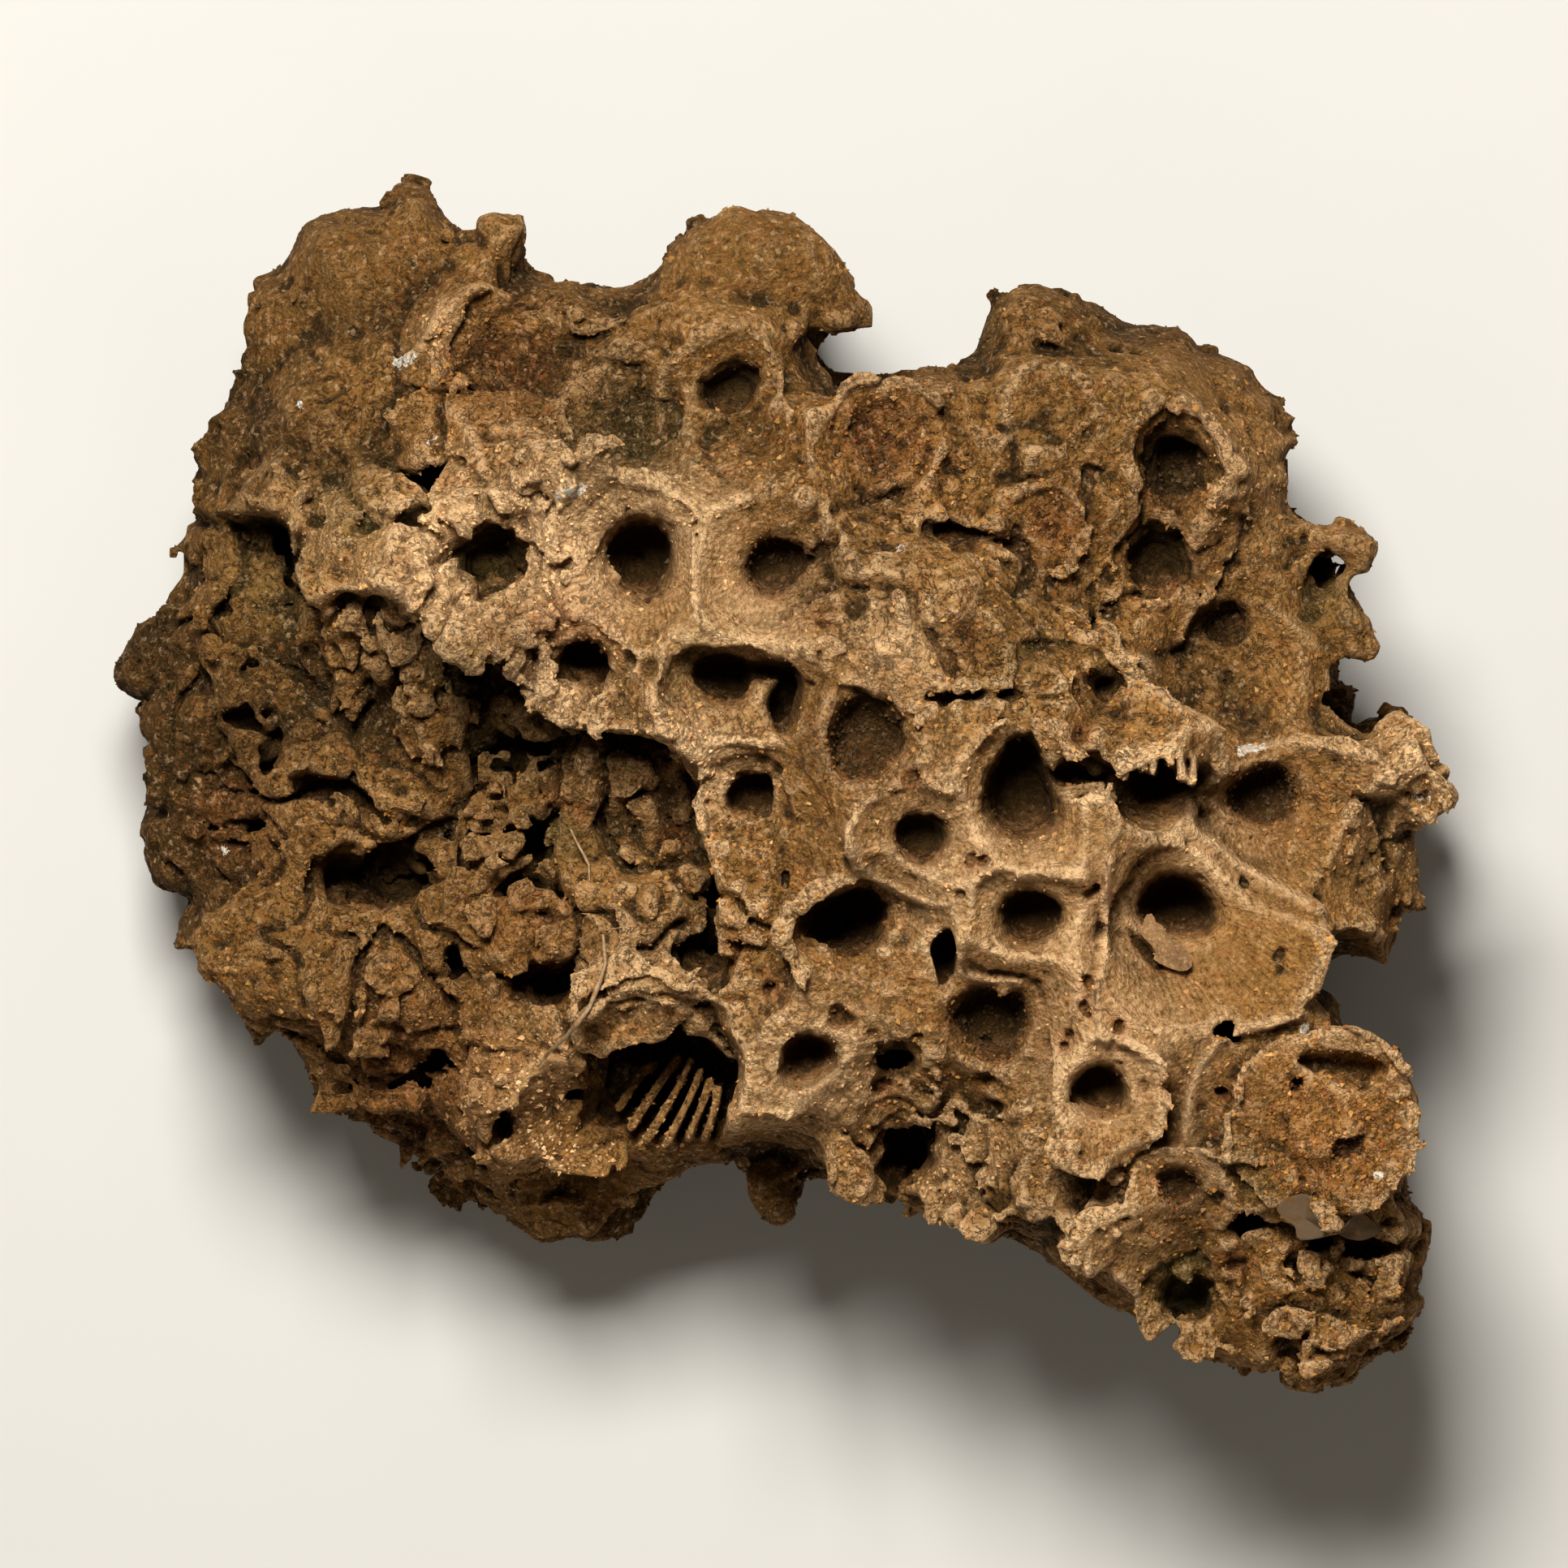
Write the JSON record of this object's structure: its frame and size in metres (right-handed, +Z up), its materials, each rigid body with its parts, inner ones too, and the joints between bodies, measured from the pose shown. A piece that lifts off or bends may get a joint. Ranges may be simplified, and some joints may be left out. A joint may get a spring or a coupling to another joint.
{
  "type": "fossil coral colony",
  "caption": "Weathered block of fossil rugose coral, cup-shaped calices with thin shared walls on top and a flat cut face beneath to rest on.",
  "frame": {"origin": "centre of the bounding box in plan, on the flat cut face that the block lies on", "axes": "+Z up out of the calices; +X to the right and +Y to the top of the picture, which looks straight down on the calices"},
  "size_m": [0.0905, 0.0814, 0.0439],
  "materials": {
    "ochre_stone": "rough ochre stone",
    "pale_chip": "rough pale stone"
  },
  "bodies": {
    "root": {"coral_colony": "ochre_stone", "loose_flake": "pale_chip"}
  },
  "joints": []
}
